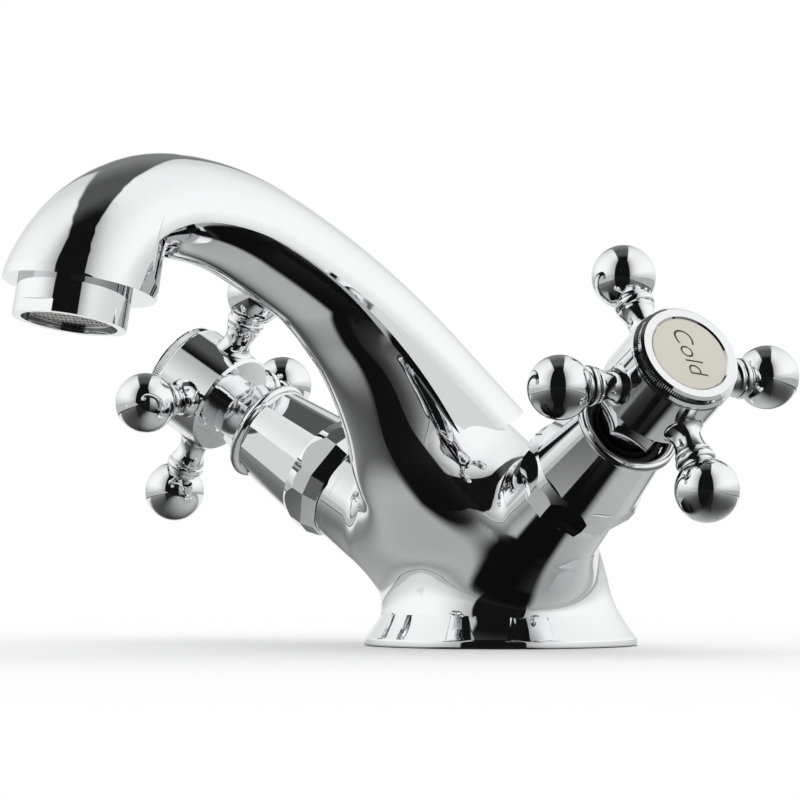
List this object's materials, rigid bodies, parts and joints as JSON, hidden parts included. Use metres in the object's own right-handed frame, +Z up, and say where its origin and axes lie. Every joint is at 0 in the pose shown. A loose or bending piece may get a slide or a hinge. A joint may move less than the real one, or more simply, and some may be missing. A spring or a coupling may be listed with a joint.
{
  "type": "basin mixer tap",
  "caption": "Chromed one-hole basin mixer with a cast swan spout, an aerator and cross handles on slanted headworks that turn a quarter.",
  "frame": {"origin": "centre of the foot's underside, on the basin deck", "axes": "+Z up from the deck, the spout reaches towards -Y, the cold handle is towards +X and the hot handle towards -X"},
  "size_m": [0.1833, 0.1699, 0.1053],
  "materials": {
    "body_chrome": "polished",
    "shroud_chrome": "polished",
    "handle_chrome": "polished",
    "nut_chrome": "polished",
    "sleeve_chrome": "polished",
    "rubber": "matt",
    "ceramic": "lapped",
    "index_ivory": "enamelled",
    "valve_brass": "turned",
    "steel": "satin",
    "insert_plastic": "moulded"
  },
  "bodies": {
    "mixer_body": {"tap_body": "body_chrome", "base_seal": "rubber", "aerator_sleeve": "sleeve_chrome", "aerator_screen": "steel", "aerator_cartridge": "insert_plastic", "aerator_washer": "rubber", "cold_shroud": "shroud_chrome", "cold_headwork_housing": "valve_brass", "cold_gland_nut": "nut_chrome", "cold_housing_o_ring": "rubber", "cold_fixed_disc": "ceramic", "cold_seat_seal": "rubber", "hot_shroud": "shroud_chrome", "hot_headwork_housing": "valve_brass", "hot_gland_nut": "nut_chrome", "hot_housing_o_ring": "rubber", "hot_fixed_disc": "ceramic", "hot_seat_seal": "rubber"},
    "hot_handle": {"hot_spindle": "valve_brass", "hot_spindle_o_rings": "rubber", "hot_moving_disc": "ceramic", "hot_handle_hub": "handle_chrome", "hot_arm_1": "handle_chrome", "hot_arm_2": "handle_chrome", "hot_arm_3": "handle_chrome", "hot_arm_4": "handle_chrome", "hot_handle_screw": "steel", "hot_cap_ring": "handle_chrome", "hot_index_disc": "index_ivory"},
    "cold_handle": {"cold_spindle": "valve_brass", "cold_spindle_o_rings": "rubber", "cold_moving_disc": "ceramic", "cold_handle_hub": "handle_chrome", "cold_arm_1": "handle_chrome", "cold_arm_2": "handle_chrome", "cold_arm_3": "handle_chrome", "cold_arm_4": "handle_chrome", "cold_handle_screw": "steel", "cold_cap_ring": "handle_chrome", "cold_index_disc": "index_ivory"}
  },
  "joints": [
    {"name": "hot_turn", "type": "hinge", "parent": "mixer_body", "child": "hot_handle", "pos_m": [-0.07112, -0.02262, 0.05714], "axis": [-0.8316, -0.2151, 0.512], "range_deg": [0, 90]},
    {"name": "cold_turn", "type": "hinge", "parent": "mixer_body", "child": "cold_handle", "pos_m": [0.07112, -0.02262, 0.05714], "axis": [0.8316, -0.2151, 0.512], "range_deg": [-90, 0]}
  ]
}
